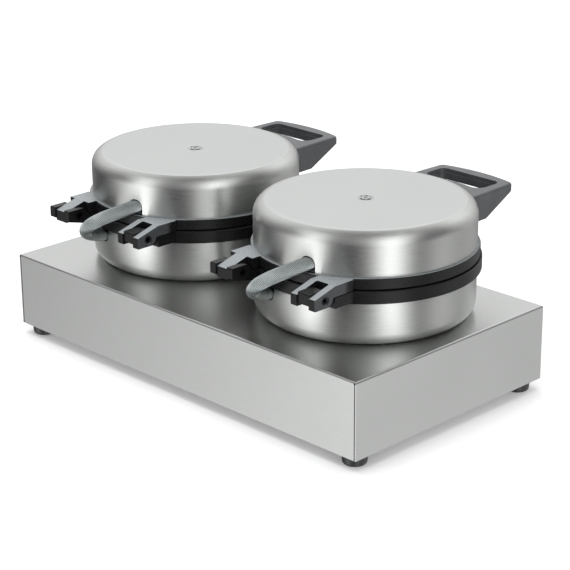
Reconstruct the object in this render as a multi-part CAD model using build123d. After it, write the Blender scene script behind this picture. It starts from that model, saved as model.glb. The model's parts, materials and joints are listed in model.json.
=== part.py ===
from build123d import *
import math
import os

# Double waffle cone maker: two round hinged irons on one folded steel base.
# Millimetres. Machine frame: +X to the right seen from the front, +Y to the rear, +Z up,
# Z = 0 where the feet stand, X = Y = 0 at the middle of the base.
# Iron frame: the same directions, from an iron's centre line on the base's top.

# --- base -----------------------------------------------------------------------------
BASE_LENGTH = 550
BASE_WIDTH = 300
BASE_HEIGHT = 87
FOOT_HEIGHT = 13
BASE_TOP = FOOT_HEIGHT + BASE_HEIGHT
SHEET = 1.5
BEND = 2.5
SEAM_GAP = 1.2
FLANGE = 11.5
FOOT_INSET = 18
FOOT_R = 14
FOOT_TIP_R = 13
FOOT_EDGE = 4
FOOT_SCREW_R = 2.5
BOTTOM_SCREW_INSET = 8

# --- irons ----------------------------------------------------------------------------
IRON_X = 136.5
IRON_Y = -10.6
SPLIT_Z = 65.3
SPLIT_GAP = 1.0
DISH_R = 121.7
DISH_SHEET = 1.2
DISH_CORNER = 15
LOWER_DISH_H = 50.6
UPPER_DISH_H = 47.8
IRON_H = 125.5
SEAT_R = 8.5
SEAT_DEPTH = 1.8
LOWER_RING_R = 127
UPPER_RING_R = 125
RING_CHAMFER = 0.8
DISC_T = 8
POCKET_R = 112
BAKE_R = 103
BAKE_DEPTH = 1.2
SPIGOT_R = 120.3
SPIGOT_INNER_R = 116
SPIGOT_H = 2
BOSS_R = 10
LID_SCREW_R = 3
LOWER_BOLT_R = 4
WIRE_HOLE_X = 45
WIRE_HOLE_Y = 25
WIRE_HOLE_R = 9
INSULATION_R = 98
INSULATION_BORE_R = 14
HEATER_R = 70
HEATER_TUBE_R = 4.25
HEATER_GAP_DEG = 24

# --- hinges ---------------------------------------------------------------------------
HINGE_X = 60.4
HINGE_HALF_W = 17
SLOT_HALF_W = 8.6
TONGUE_HALF_W = 8.25
PIN_Y = 141.8
PIN_R = 4
PIN_CLEARANCE = 0.05
PIN_RECESS = 0.8
ROOT_Y = 127.5
PRONG_TIP_Y = 157.5
TONGUE_INSET = 1.7
TIP_EDGE = 1.5
TONGUE_EDGE = 2
ARM_TOP = 12.4
ARM_FALL = 0.27
KNUCKLE_DEPTH = 8
KNUCKLE_Y = 136
HEEL_Y = 131.5
HEEL_TOP_Y = 129.9
ARM_START_Y = 100
EAR_BORE_R = 5.2
EAR_BORE_DEPTH = 1.0

# --- conduit between the two halves of an iron -----------------------------------------
CONDUIT_R = 7.5
CONDUIT_BORE_R = 5.6
NOTCH_X = 28.6
NOTCH_HALF_W = 8.9
NOTCH_DEPTH = 18.3
CONDUIT_ROUTE = [
    (-30.4, 104.0, 89.6),
    (-28.0, 126.0, 86.9),
    (-10.5, 165.0, 76.5),
    (9.5, 165.0, 58.5),
    (28.0, 126.0, 41.3),
    (30.4, 104.0, 39.2),
]
ARC_SHARE = 0.45

# --- handle ---------------------------------------------------------------------------
HANDLE_TOP = 112
HANDLE_BOTTOM = 81.5
GRIP_BOTTOM = 102.5
GUSSET_Y = 138
GRIP_Y = 183
HANDLE_CORNER_Y = 186.5
HANDLE_REACH = 194
HANDLE_HALF_W = 53
HANDLE_ROOT_HALF_W = 56.5
HANDLE_CORNER = 7
HANDLE_EDGE = 3
OPENING_HALF_W = 42
OPENING_Y = 177
OPENING_ARC_R = 144
OPENING_CORNER = 12
OPENING_TIGHT = 8
OPENING_LEDGE = 1.2
PARTING_Z = 107
SKIRT = 3.2
HANDLE_BOLT_X = 25
HANDLE_BOLT_Z = 94
HANDLE_SCREW_X = 46.7
HANDLE_SCREW_Y = 152
HANDLE_SCREW_Z = 95
HANDLE_SCREW_R = 1.6
HANDLE_SCREW_HEAD_R = 3.2

# --- front controls -------------------------------------------------------------------
CONTROL_Z = FOOT_HEIGHT + BASE_HEIGHT / 2
LAMP_DX = -62
SWITCH_DX = -28
KNOB_DX = 34
SWITCH_W = 19.6
SWITCH_H = 29
SWITCH_DEPTH = 24
BEZEL_EDGE = 2.2
BEZEL_T = 2
ROCKER_W = 16.8
ROCKER_R = 13.4
ROCKER_TILT = 8
ROCKER_PIVOT_DEPTH = 3
LAMP_R = 6
LENS_FLANGE_R = 7.5
KNOB_R = 15
KNOB_SKIRT_R = 20
KNOB_DEPTH = 17
KNOB_GAP = 1
SPINDLE_R = 3
THERMOSTAT_SIZE = 36
THERMOSTAT_DEPTH = 18

# --- supply ---------------------------------------------------------------------------
GLAND_Y = 70
GLAND_Z = 45
GLAND_THREAD_R = 8
GLAND_FLATS = 22
LEAD_R = 4.5

FRONT = -BASE_WIDTH / 2
END = BASE_LENGTH / 2
GLAND_REACH = 22
BOTTOM = (Align.CENTER, Align.CENTER, Align.MIN)
BEHIND = (Align.CENTER, Align.MIN, Align.CENTER)
IN_FRONT = (Align.CENTER, Align.MAX, Align.CENTER)

# The part's own origin is under the middle of its whole outline, on the standing surface.
CONDUIT_REACH = max(point[1] for point in CONDUIT_ROUTE) + CONDUIT_R
SHIFT_X = -GLAND_REACH / 2
SHIFT_Y = -((IRON_Y - HANDLE_REACH) + (IRON_Y + CONDUIT_REACH)) / 2


def save(name, *solids):
    """Writes one node, moved from the machine frame to the part's own frame."""
    shape = solids[0] if len(solids) == 1 else Compound(list(solids))
    export_step(Pos(SHIFT_X, SHIFT_Y, 0) * shape, f"parts/{name}.step")


def upright(radius, z0, z1, x=0, y=0):
    """A cylinder about a vertical line, from z0 to z1."""
    return Pos(x, y, z0) * Cylinder(radius, z1 - z0, align=BOTTOM)


def along_x(radius, x0, x1, y, z):
    return Pos(x0, y, z) * Rot(0, 90, 0) * Cylinder(radius, x1 - x0, align=BOTTOM)


def along_y(radius, y0, y1, x, z):
    return Pos(x, y0, z) * Rot(-90, 0, 0) * Cylinder(radius, y1 - y0, align=BOTTOM)


def block(x0, x1, y0, y1, z0, z1):
    return Pos((x0 + x1) / 2, (y0 + y1) / 2, (z0 + z1) / 2) * Box(x1 - x0, y1 - y0, z1 - z0)


def hexagon(flats, length):
    """A hexagonal prism along +Z, standing on its own origin."""
    return extrude(RegularPolygon(flats / 2, 6, major_radius=False), length)


# --- base -------------------------------------------------------------------------------
def foot_centres():
    x = END - FOOT_INSET
    y = BASE_WIDTH / 2 - FOOT_INSET
    return [(sx * x, sy * y) for sx in (-1, 1) for sy in (-1, 1)]


def bottom_screw_centres():
    x = END - BOTTOM_SCREW_INSET
    y = BASE_WIDTH / 2 - BOTTOM_SCREW_INSET
    long_sides = [(sx, sy * y) for sx in (-170, 0, 170) for sy in (-1, 1)]
    return long_sides + [(sx * x, 0) for sx in (-1, 1)]


def corner_seam(sx, sy):
    """The open seam beside one corner, and the relief hole where the three bends meet."""
    x = sx * (END - SHEET - SEAM_GAP / 2)
    y = sy * BASE_WIDTH / 2
    seam = Pos(x, y, FOOT_HEIGHT) * Box(SEAM_GAP, 2 * SHEET, BASE_HEIGHT - BEND, align=BOTTOM)
    relief_z = (FOOT_HEIGHT + 1.5, BASE_TOP - BEND)
    relief = [Pos(x, y, z) * Rot(90, 0, 0) * Cylinder(1.2, 3 * SHEET) for z in relief_z]
    return seam + relief


def housing():
    shell = Pos(0, 0, FOOT_HEIGHT) * Box(BASE_LENGTH, BASE_WIDTH, BASE_HEIGHT, align=BOTTOM)
    shell = fillet(shell.faces().sort_by(Axis.Z)[-1].edges(), BEND)
    hollow = Pos(0, 0, FOOT_HEIGHT + 2 * SHEET) * Box(
        BASE_LENGTH - 2 * SHEET, BASE_WIDTH - 2 * SHEET, BASE_HEIGHT - 3 * SHEET, align=BOTTOM
    )
    hollow = fillet(hollow.faces().sort_by(Axis.Z)[-1].edges(), BEND - SHEET)
    window = Pos(0, 0, FOOT_HEIGHT) * Box(
        BASE_LENGTH - 2 * (SHEET + FLANGE), BASE_WIDTH - 2 * (SHEET + FLANGE), 3 * SHEET, align=BOTTOM
    )
    plate_seat = Pos(0, 0, FOOT_HEIGHT) * Box(
        BASE_LENGTH - 2 * SHEET, BASE_WIDTH - 2 * SHEET, SHEET, align=BOTTOM
    )
    shell -= hollow + window + plate_seat
    shell -= [corner_seam(sx, sy) for sx in (-1, 1) for sy in (-1, 1)]
    shell -= [upright(1.6, FOOT_HEIGHT, FOOT_HEIGHT + 3 * SHEET, x, y) for x, y in bottom_screw_centres()]
    for x in (-IRON_X, IRON_X):
        shell -= upright(LOWER_BOLT_R + 0.2, BASE_TOP - 3 * SHEET, BASE_TOP + 1, x, IRON_Y)
        shell -= upright(
            WIRE_HOLE_R, BASE_TOP - 3 * SHEET, BASE_TOP + 1, x + WIRE_HOLE_X, IRON_Y + WIRE_HOLE_Y
        )
        shell -= Pos(x + SWITCH_DX, FRONT, CONTROL_Z) * Box(SWITCH_W + 0.2, 3 * SHEET, SWITCH_H + 0.2)
        shell -= along_y(LAMP_R + 0.1, FRONT - 1, FRONT + 2 * SHEET, x + LAMP_DX, CONTROL_Z)
        shell -= along_y(SPINDLE_R + 2, FRONT - 1, FRONT + 2 * SHEET, x + KNOB_DX, CONTROL_Z)
    shell -= along_x(GLAND_THREAD_R + 0.1, END - 2 * SHEET, END + 1, GLAND_Y, GLAND_Z)
    return shell


def bottom_plate():
    plate = Pos(0, 0, FOOT_HEIGHT) * Box(
        BASE_LENGTH - 2 * SHEET - 0.4, BASE_WIDTH - 2 * SHEET - 0.4, SHEET, align=BOTTOM
    )
    for x in (-IRON_X, IRON_X):
        for row in range(-3, 4):
            slot = Pos(x, row * 14, 0) * SlotOverall(90, 5)
            plate -= extrude(Pos(0, 0, FOOT_HEIGHT - 1) * slot, 3 * SHEET)
    plate -= [upright(2.1, FOOT_HEIGHT - 1, FOOT_HEIGHT + 3, x, y) for x, y in bottom_screw_centres()]
    plate -= [upright(FOOT_SCREW_R + 0.1, FOOT_HEIGHT - 1, FOOT_HEIGHT + 3, x, y) for x, y in foot_centres()]
    return plate


def pan_screw(head_r, head_h, shank_r, length):
    """A pan-head screw: head from -head_h to 0, shank up to length, cross recess in the head."""
    head = Pos(0, 0, -head_h) * Cylinder(head_r, head_h, align=BOTTOM)
    head = fillet(head.faces().sort_by(Axis.Z)[0].edges(), head_h * 0.45)
    recess = [
        Pos(0, 0, -head_h) * Rot(0, 0, turn) * Box(head_r * 1.1, head_r * 0.26, head_h, align=Align.CENTER)
        for turn in (0, 90)
    ]
    return head - recess + upright(shank_r, -0.01, length)


def foot():
    body = Cone(FOOT_TIP_R, FOOT_R, FOOT_HEIGHT, align=BOTTOM)
    body = fillet(body.faces().sort_by(Axis.Z)[0].edges(), FOOT_EDGE)
    return body - upright(6, -1, 6) - upright(FOOT_SCREW_R, 5, FOOT_HEIGHT + 1)


def foot_screw():
    nut = Pos(0, 0, FOOT_HEIGHT + SHEET) * hexagon(8, 4)
    return Pos(0, 0, 6) * pan_screw(4.6, 3, FOOT_SCREW_R, FOOT_HEIGHT - 6 + SHEET + 1) + nut


def terminal_block():
    body = block(-24, 24, -10, 10, 0, 18)
    for pole in range(4):
        x = -18 + pole * 12
        body -= along_y(2.4, -11, 11, x, 6)
        body -= upright(2.6, 6, 19, x, -4) + upright(2.6, 6, 19, x, 4)
    return body


def gland():
    """The cable gland about the X axis, from the end panel's outer face: body, nut, seal and locknut."""
    turn = Rot(0, 90, 0)
    body = turn * hexagon(GLAND_FLATS, 5)
    body += along_x(GLAND_THREAD_R, -12, 0, 0, 0) + along_x(7, 5, 14, 0, 0)
    body -= along_x(LEAD_R + 0.5, -13, 15, 0, 0) + along_x(6, 4, 15, 0, 0)
    nut = turn * hexagon(GLAND_FLATS - 2, 8) + turn * Pos(0, 0, 8) * Cone(9.8, 7.5, 8, align=BOTTOM)
    nut = Pos(6, 0, 0) * nut - along_x(7, 5, 14, 0, 0) - along_x(LEAD_R + 0.7, 13, 23, 0, 0)
    seal = along_x(6, 4, 14, 0, 0) - along_x(LEAD_R, 3, 15, 0, 0)
    locknut = Pos(-SHEET - 4, 0, 0) * turn * hexagon(GLAND_FLATS, 4) - along_x(GLAND_THREAD_R, -7, 0, 0, 0)
    return body, nut, seal, locknut


# --- front controls ---------------------------------------------------------------------
def switch_body():
    """The switch's housing about the middle of its cut-out, with the panel's face at y = 0."""
    bezel = Box(SWITCH_W + 2 * BEZEL_EDGE, BEZEL_T, SWITCH_H + 2 * BEZEL_EDGE, align=IN_FRONT)
    bezel = fillet(bezel.faces().sort_by(Axis.Y)[0].edges(), 0.8)
    barrel = Box(SWITCH_W, SWITCH_DEPTH, SWITCH_H, align=BEHIND)
    well = Pos(0, -BEZEL_T - 1, 0) * Box(ROCKER_W + 0.7, 18, 2 * ROCKER_R + 0.8, align=BEHIND)
    tabs = [
        block(x - 2.4, x + 2.4, SWITCH_DEPTH, SWITCH_DEPTH + 8, z - 0.4, z + 0.4)
        for x in (-5, 5)
        for z in (-8, 8)
    ]
    pivot = along_x(1.3, -SWITCH_W, SWITCH_W, ROCKER_PIVOT_DEPTH, 0)
    return bezel + barrel - well - pivot + tabs


def rocker():
    """The rocker about its pivot, tilted to its off position."""
    end_y = -6.0
    end_z = math.sqrt(ROCKER_R**2 - end_y**2)
    back_y = 4.0
    back_z = math.sqrt(ROCKER_R**2 - back_y**2)
    face = make_face(
        Polyline((0, end_y, end_z), (0, -4.3, 0), (0, end_y, -end_z))
        + ThreePointArc((0, end_y, -end_z), (0, 0, -ROCKER_R), (0, back_y, -back_z))
        + Polyline((0, back_y, -back_z), (0, back_y, back_z))
        + ThreePointArc((0, back_y, back_z), (0, 0, ROCKER_R), (0, end_y, end_z))
    )
    body = extrude(face, ROCKER_W / 2, dir=(1, 0, 0), both=True)
    body += along_x(1.25, -SWITCH_W / 2, SWITCH_W / 2, 0, 0)
    return Pos(0, ROCKER_PIVOT_DEPTH, 0) * Rot(ROCKER_TILT, 0, 0) * body


def lamp():
    """Lens in front of the panel and its holder behind, about the hole in the panel's face."""
    lens = along_y(LENS_FLANGE_R, -2, 0, 0, 0) + along_y(LAMP_R - 0.8, -5, -1.9, 0, 0)
    lens = fillet(lens.faces().sort_by(Axis.Y)[0].edges(), 2)
    holder = along_y(LAMP_R, 0, 20, 0, 0) + along_y(LENS_FLANGE_R, SHEET, SHEET + 3, 0, 0)
    holder += [block(x - 0.4, x + 0.4, 20, 27, -1.5, 1.5) for x in (-3, 3)]
    return lens, holder


def knob():
    """The control knob about its spindle, with the panel's face at y = 0."""
    back = -KNOB_GAP
    skirt = along_y(KNOB_SKIRT_R, back - 4, back, 0, 0)
    skirt = chamfer(skirt.faces().sort_by(Axis.Y)[0].edges(), 1.5)
    grip = along_y(KNOB_R, back - KNOB_DEPTH, back - 3.9, 0, 0)
    grip = fillet(grip.faces().sort_by(Axis.Y)[0].edges(), 1.2)
    flutes = [
        Rot(0, turn, 0) * along_y(2.2, back - KNOB_DEPTH - 1, back - 5, 0, KNOB_R + 1)
        for turn in range(15, 360, 30)
    ]
    pointer = block(-0.9, 0.9, back - KNOB_DEPTH - 0.6, back - KNOB_DEPTH + 0.5, 4, KNOB_R - 1.5)
    bore = along_y(SPINDLE_R, back - 12, back + 1, 0, 0)
    return skirt + (grip - flutes) + pointer - bore


def thermostat():
    half = THERMOSTAT_SIZE / 2
    body = block(-half, half, SHEET, SHEET + THERMOSTAT_DEPTH, -half, half)
    body = fillet(body.edges().filter_by(Axis.Y), 4)
    body -= along_y(SPINDLE_R + PIN_CLEARANCE, 0, SHEET + 12, 0, 0)
    back = SHEET + THERMOSTAT_DEPTH
    return body + [block(x - 3.2, x + 3.2, back, back + 8, 10, 11) for x in (-9, 9)]


# --- irons --------------------------------------------------------------------------------
def dish(height, hole_r):
    """A pressed dish on its floor, with a raised seat for its centre screw and a notch in its rim."""
    outer = Cylinder(DISH_R, height, align=BOTTOM)
    outer = fillet(outer.faces().sort_by(Axis.Z)[0].edges(), DISH_CORNER)
    inner = upright(DISH_R - DISH_SHEET, DISH_SHEET, height + 1)
    inner = fillet(inner.faces().sort_by(Axis.Z)[0].edges(), DISH_CORNER - DISH_SHEET)
    seat = Cone(SEAT_R, SEAT_R - 2, SEAT_DEPTH, align=BOTTOM)
    raised = Pos(0, 0, DISH_SHEET) * Cone(SEAT_R + 1, SEAT_R - 1, SEAT_DEPTH, align=BOTTOM)
    notch_z = height - NOTCH_DEPTH + NOTCH_HALF_W
    notch = along_y(NOTCH_HALF_W, DISH_R - 20, DISH_R + 1, NOTCH_X, notch_z)
    notch += block(
        NOTCH_X - NOTCH_HALF_W, NOTCH_X + NOTCH_HALF_W, DISH_R - 20, DISH_R + 1, notch_z, height + 1
    )
    return outer - inner + raised - seat - upright(hole_r, -1, SEAT_DEPTH + 2 * DISH_SHEET) - notch


def lower_dish():
    return dish(LOWER_DISH_H, LOWER_BOLT_R + 0.2) - upright(WIRE_HOLE_R, -1, 5, WIRE_HOLE_X, WIRE_HOLE_Y)


def handle_bolt_holes():
    return [
        along_y(2.7, -DISH_R - 1, -DISH_R + 20, x, HANDLE_BOLT_Z) for x in (-HANDLE_BOLT_X, HANDLE_BOLT_X)
    ]


def upper_dish():
    shell = Pos(0, 0, IRON_H) * Rot(0, 180, 0) * dish(UPPER_DISH_H, LID_SCREW_R + 0.2)
    return shell - handle_bolt_holes()


def hinge_arm(tip_y, half_w, centre_x):
    """One arm's side outline, swept across its width. Heights are from the split plane."""
    ring_face = SPLIT_GAP / 2
    outline = Polyline(
        (centre_x, ARM_START_Y, ring_face),
        (centre_x, ARM_START_Y, ARM_TOP),
        (centre_x, ROOT_Y, ARM_TOP),
        (centre_x, tip_y, ARM_TOP - (tip_y - ROOT_Y) * ARM_FALL),
        (centre_x, tip_y, -KNUCKLE_DEPTH),
        (centre_x, KNUCKLE_Y, -KNUCKLE_DEPTH),
        (centre_x, HEEL_Y, -KNUCKLE_DEPTH / 2),
        (centre_x, HEEL_TOP_Y, ring_face),
        close=True,
    )
    return extrude(make_face(outline), half_w, dir=(1, 0, 0), both=True)


def casting(ring_r, ring_t, boss_top, boss_hole_r, pin_hole_r):
    """A baking plate with its fork and tongue, as the upper one lies. Heights are from the split plane."""
    face = SPLIT_GAP / 2
    back = face + ring_t
    ring = upright(ring_r, face, back)
    ring = chamfer(ring.edges().filter_by(GeomType.CIRCLE), RING_CHAMFER)
    fork = hinge_arm(PRONG_TIP_Y, HINGE_HALF_W, -HINGE_X)
    fork = fillet(fork.edges().filter_by(Axis.X).group_by(Axis.Y)[-1], TIP_EDGE)
    slot = block(-HINGE_X - SLOT_HALF_W, -HINGE_X + SLOT_HALF_W, ROOT_Y, PRONG_TIP_Y + 1, -20, 20)
    fork -= fillet(slot.edges().filter_by(Axis.Z).group_by(Axis.Y)[0], 2)
    tongue = hinge_arm(PRONG_TIP_Y - TONGUE_INSET, TONGUE_HALF_W, HINGE_X)
    tongue = fillet(tongue.edges().filter_by(Axis.X).group_by(Axis.Y)[-1].sort_by(Axis.Z)[0], TONGUE_EDGE)
    tongue = fillet(tongue.edges().filter_by(Axis.X).group_by(Axis.Y)[-1].sort_by(Axis.Z)[-1], TIP_EDGE)
    root = block(HINGE_X - HINGE_HALF_W, HINGE_X + HINGE_HALF_W, ARM_START_Y, ROOT_Y, face, ARM_TOP)
    plate = ring + fork + (tongue + root)
    plate -= upright(POCKET_R, face + DISC_T, back + 10)
    spigot = upright(SPIGOT_R, back - 1, back + SPIGOT_H)
    plate += spigot - upright(SPIGOT_INNER_R, back - 2, back + SPIGOT_H + 1)
    plate += upright(BOSS_R, face + DISC_T - 1, boss_top)
    plate -= upright(boss_hole_r, boss_top - 42, boss_top + 1)
    plate -= upright(BAKE_R, face - 1, face + BAKE_DEPTH)
    plate -= along_x(pin_hole_r, -HINGE_X - 30, HINGE_X + 30, PIN_Y, 0)
    outer_face = HINGE_X + HINGE_HALF_W
    inner_face = HINGE_X - HINGE_HALF_W
    plate -= along_x(EAR_BORE_R, -outer_face - 1, -outer_face + EAR_BORE_DEPTH, PIN_Y, 0)
    plate -= along_x(EAR_BORE_R, -inner_face - EAR_BORE_DEPTH, -inner_face + 1, PIN_Y, 0)
    return plate


def upper_plate():
    ring_t = IRON_H - UPPER_DISH_H - SPLIT_Z - SPLIT_GAP / 2
    boss_top = IRON_H - SEAT_DEPTH - DISH_SHEET - SPLIT_Z
    plate = casting(UPPER_RING_R, ring_t, boss_top, LID_SCREW_R, PIN_R + PIN_CLEARANCE)
    return Pos(0, 0, SPLIT_Z) * plate


def lower_plate():
    ring_t = SPLIT_Z - SPLIT_GAP / 2 - LOWER_DISH_H
    boss_top = SPLIT_Z - SEAT_DEPTH - DISH_SHEET
    plate = casting(LOWER_RING_R, ring_t, boss_top, LOWER_BOLT_R, PIN_R)
    return Pos(0, 0, SPLIT_Z) * Rot(0, 180, 0) * plate


def hinge_pin(x):
    """A socket-headed pin through one fork, just below the ears' outer faces."""
    x0 = x - HINGE_HALF_W + PIN_RECESS
    x1 = x + HINGE_HALF_W - PIN_RECESS
    pin = along_x(PIN_R, x0, x1, PIN_Y, SPLIT_Z)
    socket = Pos(x0 - 1, PIN_Y, SPLIT_Z) * Rot(0, 90, 0) * hexagon(4, 5)
    return pin - socket


def heater(side):
    """A tubular ring element against the back of a baking plate: side +1 above it, -1 below it."""
    seat = SPLIT_Z + side * (SPLIT_GAP / 2 + DISC_T)
    z = seat + side * HEATER_TUBE_R
    start = 90 + HEATER_GAP_DEG / 2
    section = Plane.XZ * Pos(HEATER_R, 0) * Circle(HEATER_TUBE_R)
    ring = revolve(section, Axis.Z, 360 - HEATER_GAP_DEG)
    ring = Pos(0, 0, z) * Rot(0, 0, start) * ring
    for angle in (start, 90 - HEATER_GAP_DEG / 2):
        x = HEATER_R * math.cos(math.radians(angle))
        y = HEATER_R * math.sin(math.radians(angle))
        ring += Pos(x, y, z) * Sphere(HEATER_TUBE_R)
        tip = z + side * 16
        ring += upright(HEATER_TUBE_R, min(z, tip), max(z, tip), x, y)
        ring += upright(1.6, min(tip, tip + side * 5), max(tip, tip + side * 5), x, y)
    return ring


def insulation(z0, z1, wired):
    pad = upright(INSULATION_R, z0, z1) - upright(INSULATION_BORE_R, z0 - 1, z1 + 1)
    if wired:
        pad -= upright(WIRE_HOLE_R, z0 - 1, z1 + 1, WIRE_HOLE_X, WIRE_HOLE_Y)
    return pad


def lower_bolt():
    """The bolt that holds an iron down, from under the base's top up into the lower plate's boss."""
    head_z = -SHEET
    head = Pos(0, 0, head_z - 5) * hexagon(13, 5)
    return head + upright(LOWER_BOLT_R, head_z - 0.01, 40)


def lid_screw():
    z = IRON_H - SEAT_DEPTH
    return Pos(0, 0, z) * Rot(180, 0, 0) * pan_screw(4.6, 2, LID_SCREW_R, 36)


def sensor():
    """The thermostat's bulb under the lower plate, and its capillary down into the base."""
    z = SPLIT_Z - SPLIT_GAP / 2 - DISC_T - 3
    bulb = along_x(3, -34, 34, WIRE_HOLE_Y, z)
    floor = -BASE_HEIGHT / 2
    panel_y = FRONT - IRON_Y + SHEET + THERMOSTAT_DEPTH
    route = [
        (33, WIRE_HOLE_Y, z),
        (WIRE_HOLE_X, WIRE_HOLE_Y, z),
        (WIRE_HOLE_X, WIRE_HOLE_Y, floor),
        (KNOB_DX, WIRE_HOLE_Y - 30, floor),
        (KNOB_DX, panel_y, floor),
    ]
    path = FilletPolyline(*route, radius=[5, 10, 20])
    capillary = sweep(Plane(path @ 0, z_dir=path % 0) * Circle(1), path)
    return bulb + capillary


def conduit():
    """The armoured conduit that carries the upper element's leads round the hinge."""
    points = [Vector(*point) for point in CONDUIT_ROUTE]
    radii = []
    for before, corner, after in zip(points, points[1:], points[2:]):
        turn = (corner - before).get_angle(after - corner)
        run = min((corner - before).length, (after - corner).length)
        radii.append(ARC_SHARE * run / math.tan(math.radians(turn / 2)))
    path = FilletPolyline(*CONDUIT_ROUTE, radius=radii)
    start = Plane(path @ 0, z_dir=path % 0)
    tube = sweep(start * (Circle(CONDUIT_R) - Circle(CONDUIT_BORE_R)), path)
    section = math.pi * (CONDUIT_R**2 - CONDUIT_BORE_R**2)
    print("conduit length", round(path.length, 1), "radii", [round(r, 1) for r in radii])
    print("conduit volume over section times length", round(tube.volume / (section * path.length), 4))
    return tube


# --- handle -------------------------------------------------------------------------------
def handle_outline():
    """The handle seen from above, before its opening is cut."""
    sides = Polyline(
        (-HANDLE_HALF_W, -HANDLE_CORNER_Y),
        (-HANDLE_ROOT_HALF_W, -GUSSET_Y + 30),
        (HANDLE_ROOT_HALF_W, -GUSSET_Y + 30),
        (HANDLE_HALF_W, -HANDLE_CORNER_Y),
    )
    front = ThreePointArc(
        (HANDLE_HALF_W, -HANDLE_CORNER_Y), (0, -HANDLE_REACH), (-HANDLE_HALF_W, -HANDLE_CORNER_Y)
    )
    outline = make_face(sides + front)
    return fillet(outline.vertices().group_by(Axis.Y)[0], HANDLE_CORNER)


def handle_opening():
    width = 2 * OPENING_HALF_W
    depth = OPENING_Y - GUSSET_Y + 20
    opening = Pos(0, -OPENING_Y) * Rectangle(width, depth, align=(Align.CENTER, Align.MIN))
    opening -= Circle(OPENING_ARC_R)
    by_y = opening.vertices().group_by(Axis.Y)
    opening = fillet(by_y[-1], OPENING_CORNER)
    return fillet(opening.vertices().group_by(Axis.Y)[0], OPENING_TIGHT)


def handle():
    """The two mouldings of one handle: the outer one, and the inner one that closes it from below."""
    height = HANDLE_TOP - HANDLE_BOTTOM
    outline = handle_outline()
    solid = Pos(0, 0, HANDLE_BOTTOM) * extrude(outline, height)
    below = Polyline(
        (0, -GUSSET_Y, HANDLE_BOTTOM),
        (0, -GRIP_Y, GRIP_BOTTOM),
        (0, -HANDLE_REACH - 10, GRIP_BOTTOM),
        (0, -HANDLE_REACH - 10, HANDLE_BOTTOM - 5),
        (0, -GUSSET_Y, HANDLE_BOTTOM - 5),
        close=True,
    )
    solid -= extrude(make_face(below), HANDLE_ROOT_HALF_W + 5, dir=(1, 0, 0), both=True)
    top_edges = solid.faces().sort_by(Axis.Z)[-1].edges().filter_by(lambda e: e.center().Y < -GUSSET_Y + 25)
    solid = fillet(top_edges, HANDLE_EDGE)
    solid -= upright(DISH_R, 0, IRON_H)
    opening = handle_opening()
    core = Pos(0, 0, HANDLE_BOTTOM - 1) * extrude(offset(outline, -SKIRT), PARTING_Z - HANDLE_BOTTOM + 1)
    outer = solid - core - Pos(0, 0, HANDLE_BOTTOM - 1) * extrude(opening, height + 2)
    inner = solid & core
    inner -= Pos(0, 0, HANDLE_BOTTOM - 1) * extrude(offset(opening, -OPENING_LEDGE), height + 2)
    for x in (-HANDLE_SCREW_X, HANDLE_SCREW_X):
        inner -= upright(HANDLE_SCREW_HEAD_R + 0.4, HANDLE_BOTTOM - 1, HANDLE_SCREW_Z, x, -HANDLE_SCREW_Y)
        inner -= upright(HANDLE_SCREW_R, HANDLE_SCREW_Z - 1, PARTING_Z + 1, x, -HANDLE_SCREW_Y)
        outer -= upright(HANDLE_SCREW_R, PARTING_Z - 1, HANDLE_TOP - 2.5, x, -HANDLE_SCREW_Y)
    for x in (-HANDLE_BOLT_X, HANDLE_BOLT_X):
        inner -= along_y(2.5, -136, -DISH_R + 10, x, HANDLE_BOLT_Z)
    return outer, inner


def handle_bracket():
    band = upright(DISH_R - DISH_SHEET, 84, 104) - upright(DISH_R - DISH_SHEET - 2, 83, 105)
    band &= block(-38, 38, -DISH_R - 1, -DISH_R + 30, 80, 110)
    return band - handle_bolt_holes()


def handle_fasteners():
    wall = [
        Pos(x, -114.6, HANDLE_BOLT_Z) * Rot(90, 0, 0) * pan_screw(4.5, 3, 2.5, 21)
        for x in (-HANDLE_BOLT_X, HANDLE_BOLT_X)
    ]
    screw = pan_screw(HANDLE_SCREW_HEAD_R, 2.2, HANDLE_SCREW_R, 14)
    below = [Pos(x, -HANDLE_SCREW_Y, HANDLE_SCREW_Z) * screw for x in (-HANDLE_SCREW_X, HANDLE_SCREW_X)]
    return wall + below


# --- writing the nodes ----------------------------------------------------------------------
def write_base():
    save("housing", housing())
    save("bottom_plate", bottom_plate())
    screw = pan_screw(3.6, 2.4, 1.6, 9)
    save("bottom_screws", *[Pos(x, y, FOOT_HEIGHT) * screw for x, y in bottom_screw_centres()])
    save("feet", *[Pos(x, y, 0) * foot() for x, y in foot_centres()])
    save("foot_screws", *[Pos(x, y, 0) * foot_screw() for x, y in foot_centres()])
    save("terminal_block", Pos(END - 60, GLAND_Y, FOOT_HEIGHT + SHEET) * terminal_block())
    for name, piece in zip(("gland_body", "gland_nut", "gland_seal", "gland_locknut"), gland()):
        save(name, Pos(END, GLAND_Y, GLAND_Z) * piece)


def write_controls(side, x):
    switch = Pos(x + SWITCH_DX, FRONT, CONTROL_Z)
    save(f"{side}_switch_body", switch * switch_body())
    save(f"{side}_rocker", switch * rocker())
    lens, holder = lamp()
    save(f"{side}_lamp_lens", Pos(x + LAMP_DX, FRONT, CONTROL_Z) * lens)
    save(f"{side}_lamp_holder", Pos(x + LAMP_DX, FRONT, CONTROL_Z) * holder)
    shaft = Pos(x + KNOB_DX, FRONT, CONTROL_Z)
    save(f"{side}_knob", shaft * knob())
    save(f"{side}_spindle", shaft * along_y(SPINDLE_R, -KNOB_GAP - 12, SHEET + 11, 0, 0))
    save(f"{side}_thermostat", shaft * thermostat())


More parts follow.
